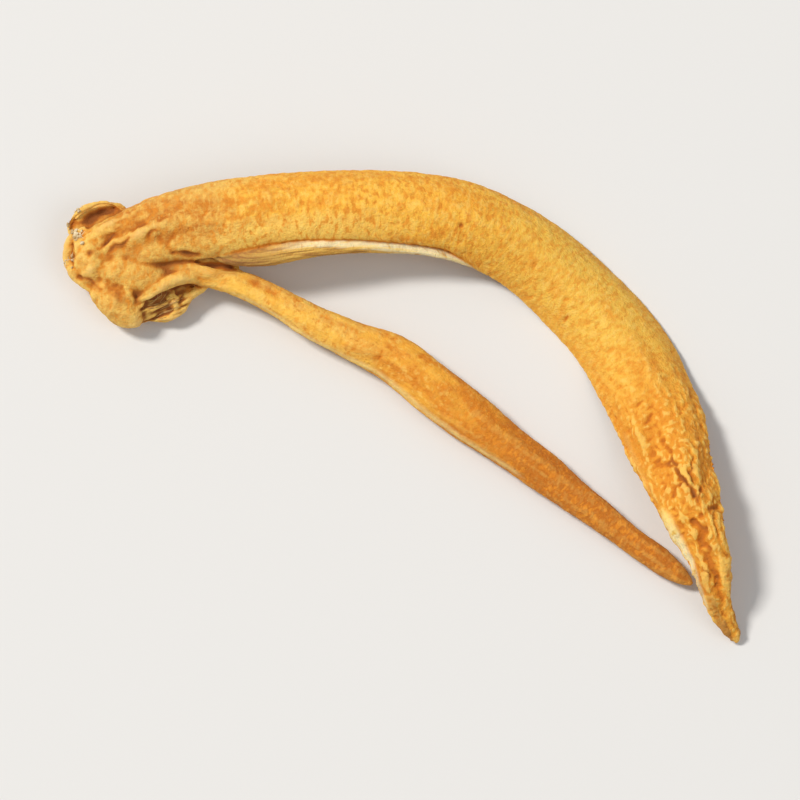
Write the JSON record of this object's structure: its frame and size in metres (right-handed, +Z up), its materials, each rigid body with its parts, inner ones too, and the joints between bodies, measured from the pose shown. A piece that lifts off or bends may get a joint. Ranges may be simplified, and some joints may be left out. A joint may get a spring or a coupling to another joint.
{
  "type": "dried cordyceps",
  "caption": "Dried cordyceps fruiting body: a broad flattened club and a slender one curving out of a crumpled foot, lying on a flat surface.",
  "frame": {"origin": "on the surface it lies on, under the middle of the whole", "axes": "+Z up from the surface, +X from the foot towards the tips"},
  "size_m": [0.048, 0.0342, 0.0057],
  "materials": {
    "foot_skin": "dry, crumpled, tan fungus skin with cream edges and brown hollows",
    "broad_skin": "dry, finely grained yellow-orange fungus skin",
    "slender_skin": "dry orange fungus skin with fine lengthwise wrinkles"
  },
  "bodies": {
    "root": {"foot": "foot_skin", "broad_club": "broad_skin", "slender_club": "slender_skin"}
  },
  "joints": []
}
